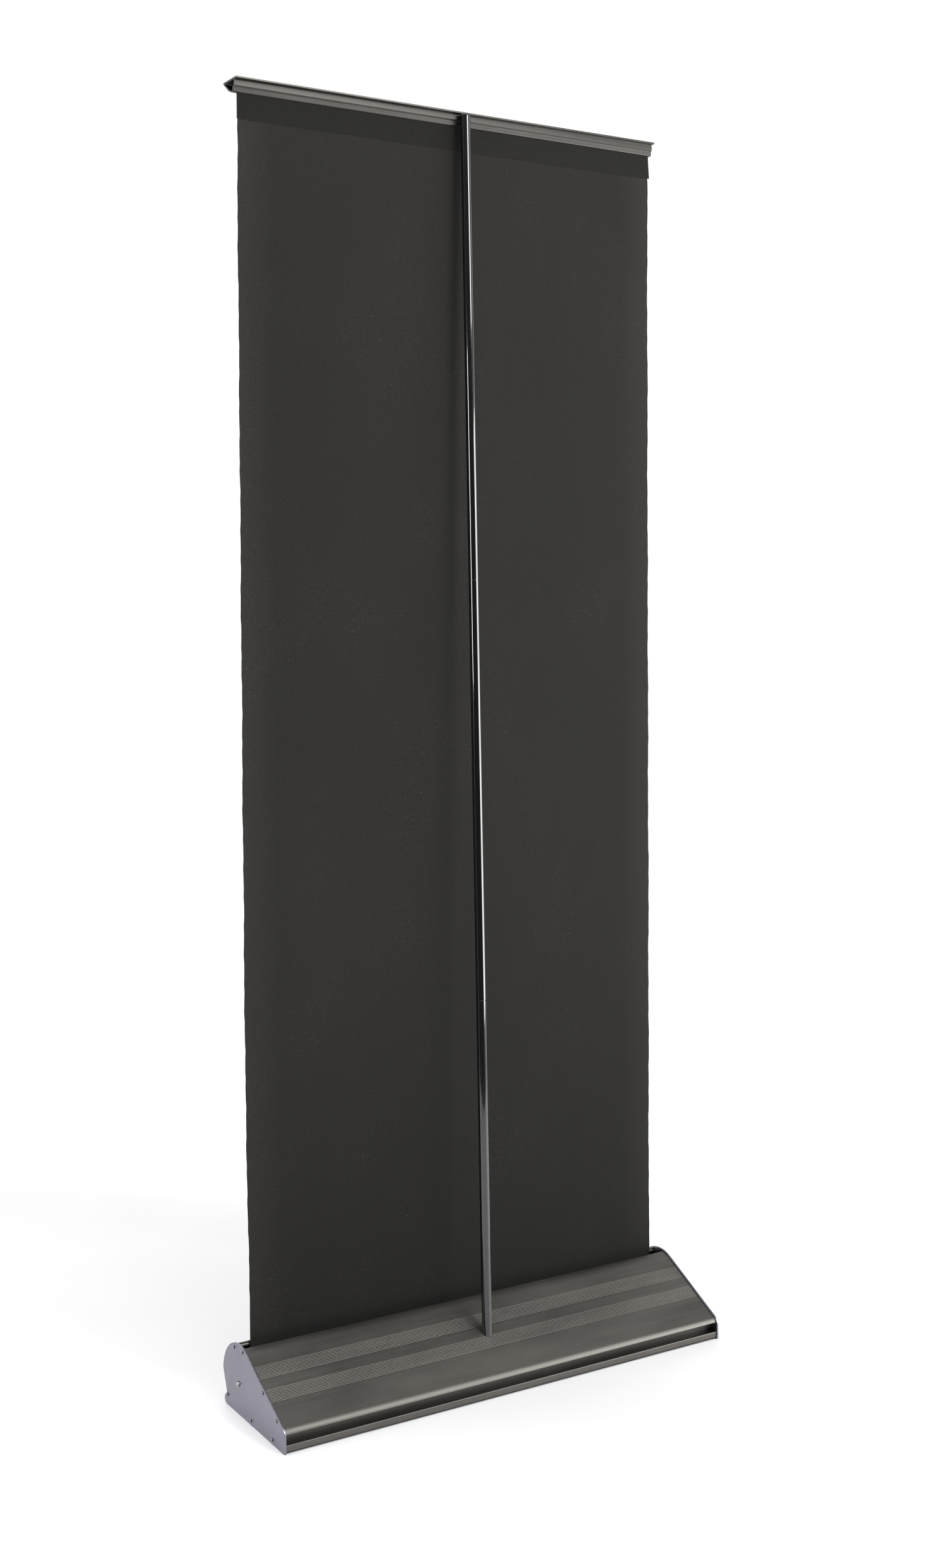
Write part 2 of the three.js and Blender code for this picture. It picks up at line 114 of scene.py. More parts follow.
def addNode(tree, kind, inputs=(), out=0, ramp=(), **settings):
    # inputs go by name, or in the sockets' own order; each is a value or the output that is joined to it.
    # ramp is a colour ramp's stops, each a position and a colour. One of the new node's outputs comes back.
    node = tree.nodes.new("ShaderNode" + kind)
    for name, value in settings.items():
        setattr(node, name, value)
    for stop, (position, code) in zip(node.color_ramp.elements if ramp else (), ramp):
        stop.position, stop.color = position, toLinear(code)
    for name, value in inputs.items() if isinstance(inputs, dict) else enumerate(inputs):
        if isinstance(value, bpy.types.NodeSocket):
            tree.links.new(value, node.inputs[name])
        else:
            node.inputs[name].default_value = value
    return node.outputs[out] if node.outputs else node


def newMaterial(name):
    material = bpy.data.materials.new(name)
    material.use_nodes = True
    material.node_tree.nodes.clear()
    return material, partial(addNode, material.node_tree)


def anodisedExtrusion(name, deep, light, metallic, roughness):
    # Extruded aluminium, etched and then anodised black: a dull dark metal, part matt from the dye in its
    # skin, with die lines that run along the length, broad soft glints, and a thin scatter of pale dust.
    material, add = newMaterial(name)
    place = add("TexCoord", out="Object")
    drawn = add("Mapping", {"Vector": place, "Scale": (2.0, 420.0, 420.0)})  # die lines about 2.4 mm apart
    dieLines = add("TexNoise", {"Vector": drawn, "Scale": 1.0, "Detail": 4.0, "Roughness": 0.65})
    drawn = add("Mapping", {"Vector": place, "Scale": (5.0, 16.0, 16.0)})
    broad = add("TexNoise", {"Vector": drawn, "Scale": 1.0, "Detail": 3.0, "Roughness": 0.55})
    grain = add("TexNoise", {"Vector": place, "Scale": 900.0})  # etched, drawn 1.1 mm across, really 0.05
    lined = add("ValToRGB", (dieLines,), ramp=((0.25, deep), (0.75, light)))
    clouded = add("ValToRGB", (broad,), ramp=((0.3, deep), (0.7, light)))
    metal = add("Mix", {0: 0.6, 6: lined, 7: clouded}, 2, data_type="RGBA")
    # dust: round flecks, one in each cell of a scattered net, thickest in the paler clouds
    cells = add("TexVoronoi", {"Vector": place, "Scale": 130.0})
    flecks = add("MapRange", (cells, 0.16, 0.064, 0.0, 1.0))
    dust = add("Math", (flecks, add("MapRange", (broad, 0.45, 0.7, 0.0, 0.15))), operation="MULTIPLY")
    worn = add("MapRange", (broad, 0.2, 0.8, roughness - 0.05, roughness + 0.07))
    scored = add("MapRange", (dieLines, 0.2, 0.8, -0.03, 0.03))
    relief = add("Math", (dieLines, 0.5, grain), operation="MULTIPLY_ADD")
    add("OutputMaterial", {"Surface": add("BsdfPrincipled", {
        "Metallic": metallic,
        "Base Color": add("Mix", {0: dust, 6: metal, 7: toLinear("#a7a29b")}, 2, data_type="RGBA"),
        "Roughness": add("Math", (worn, scored), operation="ADD"),
        "Normal": add("Bump", {"Height": relief, "Strength": 0.16, "Distance": 0.0003}),
    })})
    return material


def satinAnodisedPlate():
    # Punched aluminium sheet, grey anodised after a fine blast: a pale, faintly violet, even metal
    # with a soft glow, small nicks, and darker tone where hands and the floor have marked it.
    material, add = newMaterial("satinAnodisedAluminiumPlate")
    place = add("TexCoord", out="Object")
    blast = add("TexNoise", {"Vector": place, "Scale": 1100.0})  # pits drawn 0.9 mm across, really 0.1
    broad = add("TexNoise", {"Vector": place, "Scale": 14.0, "Detail": 4.0, "Roughness": 0.55})
    drawn = add("Mapping", {"Vector": place, "Rotation": (0.35, 0, 0), "Scale": (1.0, 60.0, 900.0)})
    rolled = add("TexNoise", {"Vector": drawn, "Scale": 1.0, "Detail": 3.0})
    clouded = add("ValToRGB", (broad,), ramp=((0.3, "#777580"), (0.7, "#888692")))
    lined = add("ValToRGB", (rolled,), ramp=((0.25, "#7a7883"), (0.75, "#8b8995")))
    metal = add("Mix", {0: 0.4, 6: clouded, 7: lined}, 2, data_type="RGBA")
    flattened = add("Mapping", {"Vector": place, "Scale": (1.0, 1.0, 2.5)})
    cells = add("TexVoronoi", {"Vector": flattened, "Scale": 90.0})
    nicks = add("MapRange", (cells, 0.07, 0.028, 0.0, 0.6))
    uneven = add("Math", (broad, blast), operation="ADD")
    relief = add("Math", (rolled, 0.5, blast), operation="MULTIPLY_ADD")
    add("OutputMaterial", {"Surface": add("BsdfPrincipled", {
        "Metallic": 1.0,
        "Base Color": add("Mix", {0: nicks, 6: metal, 7: toLinear("#d9d8de")}, 2, data_type="RGBA"),
        "Roughness": add("MapRange", (uneven, 0.6, 1.4, 0.3, 0.44)),
        "Normal": add("Bump", {"Height": relief, "Strength": 0.14, "Distance": 0.0003}),
    })})
    return material


def turnedSteel():
    # Steel rod, turned and left bare: bright, with fine rings round it and faint tarnish.
    material, add = newMaterial("turnedSteel")
    place = add("TexCoord", out="Object")
    ringed = add("Mapping", {"Vector": place, "Scale": (1600.0, 30.0, 60.0)})
    rings = add("TexNoise", {"Vector": ringed, "Scale": 1.0})
    tarnish = add("TexNoise", {"Vector": place, "Scale": 90.0, "Detail": 4.0, "Roughness": 0.6})
    bright = add("ValToRGB", (rings,), ramp=((0.3, "#a9a9ab"), (0.7, "#d2d2d4")))
    dulled = add("ValToRGB", (tarnish,), ramp=((0.3, "#9c978f"), (0.6, "#cfcfd2")))
    add("OutputMaterial", {"Surface": add("BsdfPrincipled", {
        "Metallic": 1.0,
        "Base Color": add("Mix", {0: 0.5, 6: bright, 7: dulled}, 2, data_type="RGBA"),
        "Roughness": add("MapRange", (rings, 0.2, 0.8, 0.2, 0.34)),
        "Normal": add("Bump", {"Height": rings, "Strength": 0.2, "Distance": 0.0002}),
    })})
    return material


def zincPlatedSteel():
    # Steel screws, plated with dull zinc: close to the plate's own grey, and a little brighter where the
    # driver has rubbed them.
    material, add = newMaterial("zincPlatedSteel")
    place = add("TexCoord", out="Object")
    wearAndGlare = add("TexNoise", {"Vector": place, "Scale": 700.0, "Detail": 4.0, "Roughness": 0.65})
    add("OutputMaterial", {"Surface": add("BsdfPrincipled", {
        "Metallic": 1.0,
        "Base Color": add("ValToRGB", (wearAndGlare,), ramp=((0.45, "#86848f"), (0.75, "#b6b4bd"))),
        "Roughness": add("MapRange", (wearAndGlare, 0.3, 0.8, 0.3, 0.46)),
        "Normal": add("Bump", {"Height": wearAndGlare, "Strength": 0.15, "Distance": 0.0002}),
    })})
    return material


def glossPoleCoat():
    # Aluminium tube under gloss black powder coat: nearly black, a mirror-like skin with slight orange peel,
    # and hairline scratches along it from the sections sliding home.
    material, add = newMaterial("glossBlackPowderCoat")
    place = add("TexCoord", out="Object")
    peel = add("TexNoise", {"Vector": place, "Scale": 260.0})  # peel about 4 mm across
    upright = add("Mapping", {"Vector": place, "Scale": (900.0, 900.0, 4.0)})
    hairlines = add("TexNoise", {"Vector": upright, "Scale": 1.0, "Detail": 3.0})
    uneven = add("Math", (peel, hairlines), operation="ADD")
    relief = add("Math", (hairlines, 0.3, peel), operation="MULTIPLY_ADD")
    add("OutputMaterial", {"Surface": add("BsdfPrincipled", {
        "Metallic": 0.0, "IOR": 1.52, "Coat Weight": 1.0, "Coat Roughness": 0.04,
        "Base Color": add("ValToRGB", (hairlines,), ramp=((0.45, "#070707"), (0.8, "#131213"))),
        "Roughness": add("MapRange", (uneven, 0.7, 1.4, 0.06, 0.16)),
        "Normal": add("Bump", {"Height": relief, "Strength": 0.05, "Distance": 0.0003}),
    })})
    return material


def mouldedPlastic():
    # Black ABS from a spark-eroded mould: soft dull highlights over a fine even stipple.
    material, add = newMaterial("mouldedAbs")
    place = add("TexCoord", out="Object")
    stipple = add("TexNoise", {"Vector": place, "Scale": 1300.0})
    broad = add("TexNoise", {"Vector": place, "Scale": 60.0, "Detail": 3.0})
    add("OutputMaterial", {"Surface": add("BsdfPrincipled", {
        "Metallic": 0.0, "IOR": 1.53,
        "Base Color": add("ValToRGB", (broad,), ramp=((0.3, "#19191b"), (0.7, "#29292c"))),
        "Roughness": add("MapRange", (stipple, 0.3, 0.7, 0.4, 0.56)),
        "Normal": add("Bump", {"Height": stipple, "Strength": 0.2, "Distance": 0.0002}),
    })})
    return material


# lowShade is painted shade: the cloth's colour darkens towards the floor as if the base shaded it
clothLook = {"thread": 0.0018, "dark": "#1a1918", "pale": "#302f2d", "sheen": 0.06, "lowShade": 0.64,
             # the edge band's width and its paling factor paint a glare along the cloth's side edges
             "middle": 0.4, "glareBand": 0.06, "wearAndGlare": 1.6, "lint": 0.8, "lintColour": "#8f8b86", "bump": 0.4}
hemLook = {"thread": 0.0026, "dark": "#100f0f", "pale": "#2a2927", "sheen": 0.04, "lowShade": 0.95,
           "middle": 0.025, "glareBand": 0.01, "wearAndGlare": 1.0, "lint": 0.3, "lintColour": "#6f6c68", "bump": 0.8}
clothPatterns = {
    # cycles per metre across, along and through the cloth, then detail and roughness
    "wobble": ((60.0, 9.0, 1.0), 2.0, 0.5),
    "slubs": ((520.0, 26.0, 1.0), 3.0, 0.6),  # 2 mm wide, 40 mm long
    "picks": ((30.0, 480.0, 1.0), 3.0, 0.6),
    "broad": ((3.4, 2.2, 1.0), 4.0, 0.6),
    "mottle": ((300.0, 300.0, 1.0), 3.0, 0.6),
    "lintPatches": ((7.0, 4.4, 1.0), 2.0, 0.5),
    "fleck": ((640.0, 210.0, 1.0), 2.0, 0.7),
    "crossing": ((190.0, 760.0, 1.0), 2.0, 0.7),
}


def bannerCloth(name, use):
    # Woven polyester dyed black: matt, with upright ribs of warp thread crossed by finer weft, slubs that
    # run upright, pale lint caught in patches, and a faint sheen at grazing angles.
    material, add = newMaterial(name)
    place = add("UVMap", uv_map="cloth")  # metres across and up the cloth
    noises = {}
    for pattern, (scale, detail, roughness) in clothPatterns.items():
        spread = add("Mapping", {"Vector": place, "Scale": scale})
        noises[pattern] = add("TexNoise", {
            "Vector": spread, "Scale": 1.0, "Detail": detail, "Roughness": roughness,
        })
    wobble = add("Math", (noises["wobble"], 0.0016), operation="MULTIPLY")
    shaken = add("VectorMath", (place, add("CombineXYZ", {"X": wobble})), operation="ADD")
    # threads are 0.35 mm apart, and drawn at the dictionary's coarser spacing so that they show
    bands = 2 * math.pi / (20 * use["thread"])
    warp, weft = (add("TexWave", {"Vector": shaken, "Scale": scale, "Distortion": 0.6, "Detail": 1.0}, "Fac",
                      bands_direction=direction) for direction, scale in (("X", bands), ("Y", bands * 1.15)))
    weft = add("Math", (weft, 0.4), operation="MULTIPLY")
    weave = add("Math", (warp, 0.6, weft), operation="MULTIPLY_ADD")
    threads = add("ValToRGB", (noises["slubs"],), ramp=((0.3, use["dark"]), (0.72, use["pale"])))
    for share, pattern, start, end in ((0.5, weave, 0.1, 0.95), (0.3, noises["mottle"], 0.35, 0.7)):
        tone = add("ValToRGB", (pattern,), ramp=((start, use["dark"]), (end, use["pale"])))
        threads = add("Mix", {0: share, 6: threads, 7: tone}, 2, data_type="RGBA")
    # shade: painted shade that darkens the cloth towards the floor, where the base shades it; tone uneven in
    # broad patches; and a painted glare that makes the cloth paler along its two side edges
    across, height = (add("SeparateXYZ", {"Vector": place}, axis) for axis in "XY")
    lower = add("MapRange", (height, 0.2, 0.8, use["lowShade"], 0.95))
    uneven = add("MapRange", (noises["broad"], 0.3, 0.75, 0.93, 1.1))
    # painted glare: the colour is made paler in a band along each side edge of the cloth
    offset = add("Math", (across, use["middle"]), operation="SUBTRACT")
    fromMiddle = add("Math", (offset,), operation="ABSOLUTE")
    wearAndGlare = add("MapRange", (fromMiddle, use["middle"] - use["glareBand"], use["middle"], 1.0, use["wearAndGlare"]))
    shade = add("Math", (add("Math", (lower, uneven), operation="MULTIPLY"), wearAndGlare), operation="MULTIPLY")
    grey = add("CombineColor", (shade, shade, shade))
    shaded = add("Mix", {0: 1.0, 6: threads, 7: grey}, 2, data_type="RGBA", blend_type="MULTIPLY")
    # lint: short flecks, few over the whole cloth and many in a few patches
    upright = add("MapRange", (noises["fleck"], 0.64, 0.8, 0.0, 1.0))
    level = add("MapRange", (noises["crossing"], 0.68, 0.84, 0.0, 0.8))
    lint = add("Math", (upright, level), operation="MAXIMUM")
    caught = add("MapRange", (noises["lintPatches"], 0.5, 0.72, 0.1 * use["lint"], use["lint"]))
    lint = add("Math", (lint, caught), operation="MULTIPLY")
    rough = add("Math", (noises["slubs"], noises["picks"]), operation="ADD")
    relief = add("Math", (rough, 0.5, weave), operation="MULTIPLY_ADD")
    add("OutputMaterial", {"Surface": add("BsdfPrincipled", {
        "Metallic": 0.0, "IOR": 1.5, "Specular IOR Level": 0.2,
        "Sheen Weight": use["sheen"], "Sheen Roughness": 0.5, "Sheen Tint": toLinear("#b9b4ab"),
        "Base Color": add("Mix", {0: lint, 6: shaded, 7: toLinear(use["lintColour"])}, 2, data_type="RGBA"),
        "Roughness": add("MapRange", (noises["slubs"], 0.3, 0.7, 0.84, 0.96)),
        "Normal": add("Bump", {"Height": relief, "Strength": use["bump"], "Distance": 0.0005}),
    })})
    return material


def rolledFilm():
    # Polyester film wound tight: smooth dark grey with a low satin shine and faint lines round the roll.
    material, add = newMaterial("polyesterFilm")
    wound = add("Mapping", {"Vector": add("TexCoord", out="Object"), "Scale": (700.0, 12.0, 12.0)})
    lines = add("TexNoise", {"Vector": wound, "Scale": 1.0})
    add("OutputMaterial", {"Surface": add("BsdfPrincipled", {
        "Metallic": 0.0, "IOR": 1.57,
        "Base Color": add("ValToRGB", (lines,), ramp=((0.3, "#38383a"), (0.7, "#48484b"))),
        "Roughness": add("MapRange", (lines, 0.3, 0.7, 0.42, 0.55)),
        "Normal": add("Bump", {"Height": lines, "Strength": 0.1, "Distance": 0.0002}),
    })})
    return material


def braidedElastic():
    # Rubber cord in a braided polyester sleeve: matt black with a slanting plait.
    material, add = newMaterial("braidedElastic")
    slanted = add("Mapping", {"Vector": add("UVMap", uv_map="cloth"), "Rotation": (0, 0, math.radians(45))})
    plait = add("TexWave", {"Vector": slanted, "Scale": 260.0}, "Fac")  # strands 1.2 mm apart
    add("OutputMaterial", {"Surface": add("BsdfPrincipled", {
        "Metallic": 0.0, "IOR": 1.5, "Sheen Weight": 0.2, "Sheen Roughness": 0.4,
        "Base Color": add("ValToRGB", (plait,), ramp=((0.1, "#0e0e0f"), (0.9, "#2c2c2e"))),
        "Roughness": add("MapRange", (plait, 0.0, 1.0, 0.92, 0.75)),
        "Normal": add("Bump", {"Height": plait, "Strength": 0.5, "Distance": 0.0003}),
    })})
    return material


shellMetal = anodisedExtrusion("blackAnodisedExtrusion", "#555350", "#66635f", 0.95, 0.45)
railMetal = anodisedExtrusion("satinBlackAnodisedRail", "#3d3b39", "#4a4845", 0.8, 0.32)
plateMetal = satinAnodisedPlate()
steel = turnedSteel()
zincSteel = zincPlatedSteel()
poleCoat = glossPoleCoat()
plastic = mouldedPlastic()
cloth = bannerCloth("wovenPolyester", clothLook)
hemTape = bannerCloth("wovenHemTape", hemLook)
film = rolledFilm()
elastic = braidedElastic()
print("materials ready")


def gridPiece(name, grid, closedRows=False, closedColumns=False, capped=False, across=None, along=None):
    # Each square joins grid[r, c] to its next row and next column; a closed direction joins its last line
    # to its first, and capped ends are filled. across and along are the cloth's metres per column and row.
    rows, columns = grid.shape[:2]
    r = np.arange(rows if closedRows else rows - 1)[:, None]
    c = np.arange(columns if closedColumns else columns - 1)[None, :]
    nextRow, nextColumn = (r + 1) % rows, (c + 1) % columns
    squares = np.stack([r * columns + c, r * columns + nextColumn,
                        nextRow * columns + nextColumn, nextRow * columns + c], -1).reshape(-1, 4)
    faces = squares.tolist()
    if capped:
        faces.append(list(range(columns))[::-1])
        faces.append(list(range((rows - 1) * columns, rows * columns)))
    mesh = bpy.data.meshes.new(name)
    mesh.from_pydata(grid.reshape(-1, 3).tolist(), [], faces)
    if across is not None:
        r, c = np.broadcast_arrays(r, c)
        corners = np.stack([np.stack([across[c + dc], along[r + dr]], -1)
                            for dc, dr in ((0, 0), (1, 0), (1, 1), (0, 1))], 2)
        layer = mesh.uv_layers.new(name="cloth")
        spread = np.zeros((len(mesh.loops), 2))
        spread[:squares.size] = corners.reshape(-1, 2)
        layer.data.foreach_set("uv", spread.ravel())
    piece = bpy.data.objects.new(name, mesh)
    bpy.context.collection.objects.link(piece)
    closeUp(piece)
    return piece


def closeUp(piece):
    # merges the points that meet at a pole or a seam and turns every face outward
    work = bmesh.new()
    work.from_mesh(piece.data)
    bmesh.ops.remove_doubles(work, verts=work.verts, dist=2e-6)
    bmesh.ops.dissolve_degenerate(work, edges=work.edges, dist=1e-7)
    bmesh.ops.recalc_face_normals(work, faces=work.faces)
    work.to_mesh(piece.data)
    work.free()


def finished(piece, body, material, replaced=(), sharp=14):
    piece.data.materials.clear()
    piece.data.materials.append(material)
    piece.data.shade_smooth()
    piece.data.set_sharp_from_angle(angle=math.radians(sharp))
    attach(piece, body)
    if replaced:
        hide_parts(*replaced)
    return piece


def reshaped(piece, tools, operation):
    # joins or cuts the piece by closed tools and keeps the result as its mesh
    for tool in tools:
        modifier = piece.modifiers.new("shape", "BOOLEAN")
        modifier.operation = operation
        modifier.solver = "EXACT"
        modifier.object = tool
    held = piece.evaluated_get(bpy.context.evaluated_depsgraph_get())
    result = bpy.data.meshes.new_from_object(held)
    piece.modifiers.clear()
    piece.data = result
    for tool in tools:
        bpy.data.objects.remove(tool)
    return piece


def arc(centre, radius, start, end, step=4):
    # points at centre + radius (cos a, sin a), for angles from start to end in degrees
    count = max(2, int(abs(end - start) / step) + 1)
    angles = np.radians(np.linspace(start, end, count))
    return np.array(centre) + radius * np.stack([np.cos(angles), np.sin(angles)], 1)


def alongX(name, outlines, stations):
    # The outline in Y and Z is carried along X: point (k, i) is (station k, outline k's point i).
    outlines = [outlines] * len(stations) if isinstance(outlines, np.ndarray) else outlines
    grid = np.stack([np.column_stack([np.full(len(o), x), o]) for o, x in zip(outlines, stations)])
    return gridPiece(name, grid * mm, closedColumns=True, capped=True)


def turned(name, profile, axisPoint, axis, sides=64, closed=False, mask=None):
    # A profile of (radius, distance) points turned about an axis:
    # point (i, k) is axisPoint + distance i along the axis + radius i (cos k across + sin k sideways).
    profile = np.array(profile, float)
    axis = np.array(axis, float) / np.linalg.norm(axis)
    across = np.cross(axis, up if abs(axis[2]) < 0.9 else (1.0, 0.0, 0.0))
    across /= np.linalg.norm(across)
    sideways = np.cross(axis, across)
    angles = np.linspace(0, 2 * math.pi, sides, endpoint=False)
    ring = np.cos(angles)[:, None] * across + np.sin(angles)[:, None] * sideways
    distance = np.repeat(profile[:, 1:2], sides, 1)
    if mask is not None:
        distance = distance - mask(profile[:, :1] * np.cos(angles), profile[:, :1] * np.sin(angles), distance)
    grid = np.array(axisPoint) + distance[..., None] * axis + profile[:, :1, None] * ring[None]
    steps = np.linalg.norm(np.diff(np.vstack([profile, profile[:1]]), axis=0), axis=1)
    lengths = np.concatenate([[0], np.cumsum(steps)]) * mm
    turns = np.linspace(0, 2 * math.pi * profile[:, 0].max() * mm, sides + 1)
    return gridPiece(name, grid * mm, closedRows=closed, closedColumns=True, across=turns, along=lengths)


def rods(name, places, radius, low, high, sides=32):
    # closed rods along X, one at each place in Y and Z
    parts = [turned(name, [(0, low), (radius, low), (radius, high), (0, high)], (0, *place), (1, 0, 0), sides)
             for place in places]
    first = parts[0]
    work = bmesh.new()
    for part in parts:
        work.from_mesh(part.data)
    work.to_mesh(first.data)
    work.free()
    for part in parts[1:]:
        bpy.data.objects.remove(part)
    return first


def chamfered(points, size, steps=3):
    # Each corner P becomes the curve (1-s)(1-s)A + 2s(1-s)P + ssB, with A and B a little way along its edges.
    points = np.array(points, float)
    before = np.roll(points, 1, 0) - points
    after = np.roll(points, -1, 0) - points
    reachBefore = np.linalg.norm(before, axis=1, keepdims=True)
    reachAfter = np.linalg.norm(after, axis=1, keepdims=True)
    a = points + before / reachBefore * np.minimum(size, 0.4 * reachBefore)
    b = points + after / reachAfter * np.minimum(size, 0.4 * reachAfter)
    s = np.linspace(0, 1, steps + 1)[None, :, None]
    curve = (1 - s) ** 2 * a[:, None] + 2 * s * (1 - s) * points[:, None] + s ** 2 * b[:, None]
    return curve.reshape(-1, 2)


baseSet = {
    # the base's section, in millimetres of Y and Z, and degrees
    "drumRadius": 62.5, "drumHeight": 50.0, "depth": 228.0, "slope": 27.6,
    "rearRadius": 16.0, "rearCorner": 3.0,
    "knuckle": 172.6, "knuckleRadius": 10.0, "chin": 21.5, "neckRadius": 4.0,
    "toeRadius": 8.0, "toeSetback": 13.3,
    "plateOuter": 417.5, "plateThickness": 3.0, "proud": 2.0, "wall": 1.8, "edgeRound": 0.45,
    "slotFront": 107.0, "slotRear": 78.0, "lipHeight": 13.0, "lipThickness": 2.4,
    "recessDepth": 15.0, "recessRoof": 27.4, "recessRadius": 5.0, "noseEnd": 20.0,
    "bands": (24.0, 70.0), "ribs": 10, "ribPitch": 2.6, "ribDepth": 0.28,
    "portRadius": 3.6, "portInset": 6.9, "bore": 1.75,
    "poleHole": 8.8, "poleHoleReach": (27.0, 175.0), "axleHole": 4.3,
}
drum = np.array([baseSet["drumRadius"] - baseSet["depth"] / 2, baseSet["drumHeight"]])
rearFace = baseSet["depth"] / 2
slopeNormal = 90 - baseSet["slope"]
extrusionEnd = baseSet["plateOuter"] - baseSet["plateThickness"] - gap


def polar(centre, radius, angle):
    # centre + radius (cos angle, sin angle)
    turn = math.radians(angle)
    return np.array(centre) + radius * np.array([math.cos(turn), math.sin(turn)])


def rearCentre(use):
    # centre of the nose's arc, which touches both the slope and the rear face
    y = rearFace - use["rearRadius"]
    reach = use["drumRadius"] - use["rearRadius"] - (y - drum[0]) * math.cos(math.radians(slopeNormal))
    return np.array([y, drum[1] + reach / math.sin(math.radians(slopeNormal))])


def onSlope(use, distance, depth):
    # points a distance down the slope and a depth under the plate's outline
    start = polar(drum, use["drumRadius"] - depth, slopeNormal)
    down = np.array([math.cos(math.radians(use["slope"])), -math.sin(math.radians(use["slope"]))])
    return start + np.multiply.outer(distance, down)


def frontRun(use, inset, startAngle):
    # drum, knuckle, chin, neck and toe: arcs about fixed centres, each grown or shrunk by the inset
    knuckle = polar(drum, use["drumRadius"] - use["knuckleRadius"], use["knuckle"])
    toe = np.array([use["toeSetback"] - rearFace, use["toeRadius"]])
    chinNormal = 180 + use["chin"]
    chinTop = polar(knuckle, use["knuckleRadius"], chinNormal)
    out = polar((0, 0), 1, chinNormal)
    down = np.array([-out[1], out[0]])
    reach = math.sqrt((use["neckRadius"] + use["toeRadius"]) ** 2
                      - (use["neckRadius"] - (toe - chinTop) @ out) ** 2)
    neck = chinTop + down * ((toe - chinTop) @ down - reach) + out * use["neckRadius"]
    toToe = math.degrees(math.atan2(toe[1] - neck[1], toe[0] - neck[0]))
    return np.vstack([
        arc(drum, use["drumRadius"] - inset, startAngle, use["knuckle"], 2),
        arc(knuckle, use["knuckleRadius"] - inset, use["knuckle"], chinNormal),
        arc(neck, use["neckRadius"] + inset, use["chin"], toToe, 6),
        arc(toe, use["toeRadius"] - inset, toToe + 180, 270),
    ])


def plateOutline(use, inset):
    # the front run, then the arcs of the rear foot and the nose; straight lines join them as floor and slope
    rear = rearCentre(use)
    corner = (rearFace - use["rearCorner"], use["rearCorner"])
    return np.vstack([
        frontRun(use, inset, slopeNormal),
        arc(corner, use["rearCorner"] - inset, 270, 360, 9),
        arc(rear, use["rearRadius"] - inset, 0, slopeNormal, 3),
    ])


def bodyOutline(use):
    # from the slot's front edge round the front run and along the floor to the low rear lip, and back inside
    lipBack = rearFace - use["proud"]
    corner = (lipBack - use["rearCorner"], use["proud"] + use["rearCorner"])
    lipTop = (lipBack - use["lipThickness"] / 2, use["lipHeight"] - use["lipThickness"] / 2)
    floorTop = use["proud"] + use["wall"]
    inner = np.vstack([
        frontRun(use, floorTop, use["slotFront"]),
        [(lipBack - use["lipThickness"] - 1.5, floorTop), (lipBack - use["lipThickness"], floorTop + 1.5)],
    ])
    rim = polar(drum, use["drumRadius"] - use["proud"] - use["wall"] / 2, use["slotFront"])
    return np.vstack([
        arc(rim, use["wall"] / 2, use["slotFront"] - 180, use["slotFront"], 20)[1:-1],  # rounded front lip
        frontRun(use, use["proud"], use["slotFront"]),
        arc(corner, use["rearCorner"], 270, 360, 9),
        arc(lipTop, use["lipThickness"] / 2, 0, 180, 12),
        inner[::-1],
    ])


def ribbedSlope(use):
    # Rounded ribs: the depth below the slope is the groove depth times the square of sin(pi t), where t
    # counts the ribs from a band's start, so each crest meets the slope and each groove lies between two.
    t = np.linspace(0, use["ribs"], use["ribs"] * 10 + 1)
    depth = use["ribDepth"] * np.sin(math.pi * t) ** 2
    margin = 0.15  # a flat strip each side, which keeps the smooth shading of the flats even
    t = np.concatenate([[-margin], t, [use["ribs"] + margin]])
    depth = np.concatenate([[0], depth, [0]])
    along = np.add.outer(np.array(use["bands"]), use["ribPitch"] * t).ravel()
    surface = onSlope(use, along, use["proud"])
    return surface - np.multiply.outer(np.tile(depth, len(use["bands"])), polar((0, 0), 1, slopeNormal))


def coverOutline(use):
    # from the slot's rear edge down the slope, round the nose, along the recess's roof and down its back,
    # then the same run again one wall thickness further in
    rear = rearCentre(use)
    under = use["proud"] + use["wall"]
    recessBack = rearFace - use["proud"] - use["recessDepth"]
    bend = np.array([recessBack + use["recessRadius"], use["recessRoof"] - use["recessRadius"]])
    noseStart = polar(rear, use["rearRadius"] - under, slopeNormal)
    topRadius = use["drumRadius"] - use["proud"]
    rim = polar(drum, topRadius - use["wall"] / 2, use["slotRear"])
    return np.vstack([
        arc(rim, use["wall"] / 2, use["slotRear"] + 180, use["slotRear"], 20)[1:-1],  # rounded at the slot
        arc(drum, topRadius, use["slotRear"], slopeNormal, 2),
        ribbedSlope(use),
        arc(rear, use["rearRadius"] - use["proud"], slopeNormal, use["noseEnd"], 3),
        [(noseStart[0], use["recessRoof"])],
        arc(bend, use["recessRadius"], 90, 180, 5),
        [(recessBack, under + gap), (recessBack - use["wall"], under + gap)],
        arc(bend, use["recessRadius"] + use["wall"], 180, 90, 5),
        [(noseStart[0], use["recessRoof"] + use["wall"]), noseStart],
        arc(drum, use["drumRadius"] - under, slopeNormal, use["slotRear"], 2),
    ])


